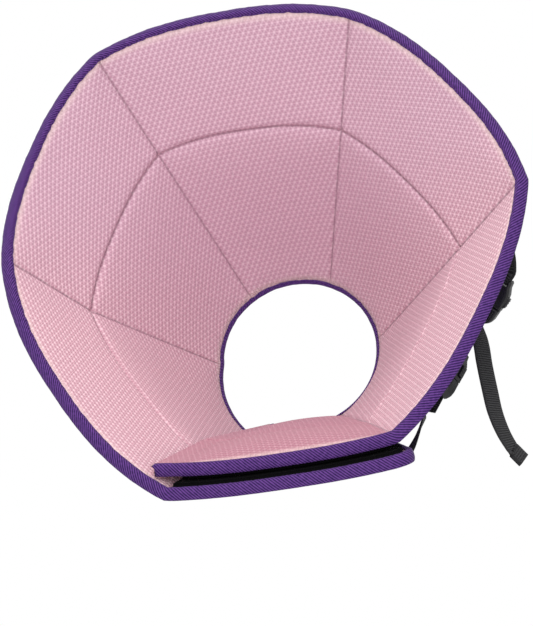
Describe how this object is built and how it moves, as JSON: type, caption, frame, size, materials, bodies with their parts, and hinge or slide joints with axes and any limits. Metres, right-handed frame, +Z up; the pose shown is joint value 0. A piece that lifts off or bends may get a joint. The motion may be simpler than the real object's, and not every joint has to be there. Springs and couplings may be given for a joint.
{
  "type": "soft recovery cone",
  "caption": "Padded fabric recovery cone for a pet, with an overlap under the chin, bound edges and strap buckles outside.",
  "frame": {"origin": "middle of the neck opening, on the cone's axis", "axes": "mouth faces -Y, +Z is up, +X is the side with the buckles"},
  "size_m": [0.3658, 0.1904, 0.367],
  "materials": {
    "lining_mesh": "pink air mesh with small raised bumps",
    "cover_cloth": "purple woven cloth",
    "rim_tape": "purple twill tape",
    "neck_tape": "purple twill tape",
    "hook_tape": "black hook tape",
    "loop_tape": "black loop tape",
    "upper_anchor_webbing": "black ribbed webbing",
    "upper_pull_webbing": "black ribbed webbing",
    "lower_anchor_webbing": "black ribbed webbing",
    "lower_pull_webbing": "black ribbed webbing",
    "upper_socket_plastic": "black moulded plastic, satin",
    "upper_plug_plastic": "black moulded plastic, satin",
    "lower_socket_plastic": "black moulded plastic, satin",
    "lower_plug_plastic": "black moulded plastic, satin"
  },
  "bodies": {
    "root": {"padded_lining": "lining_mesh", "outer_cover": "cover_cloth", "rim_binding": "rim_tape", "neck_binding": "neck_tape", "hook_tape": "hook_tape", "loop_tape": "loop_tape", "upper_anchor_strap": "upper_anchor_webbing", "upper_pull_strap": "upper_pull_webbing", "upper_buckle_socket": "upper_socket_plastic", "upper_buckle_plug": "upper_plug_plastic", "lower_anchor_strap": "lower_anchor_webbing", "lower_pull_strap": "lower_pull_webbing", "lower_buckle_socket": "lower_socket_plastic", "lower_buckle_plug": "lower_plug_plastic"}
  },
  "joints": []
}
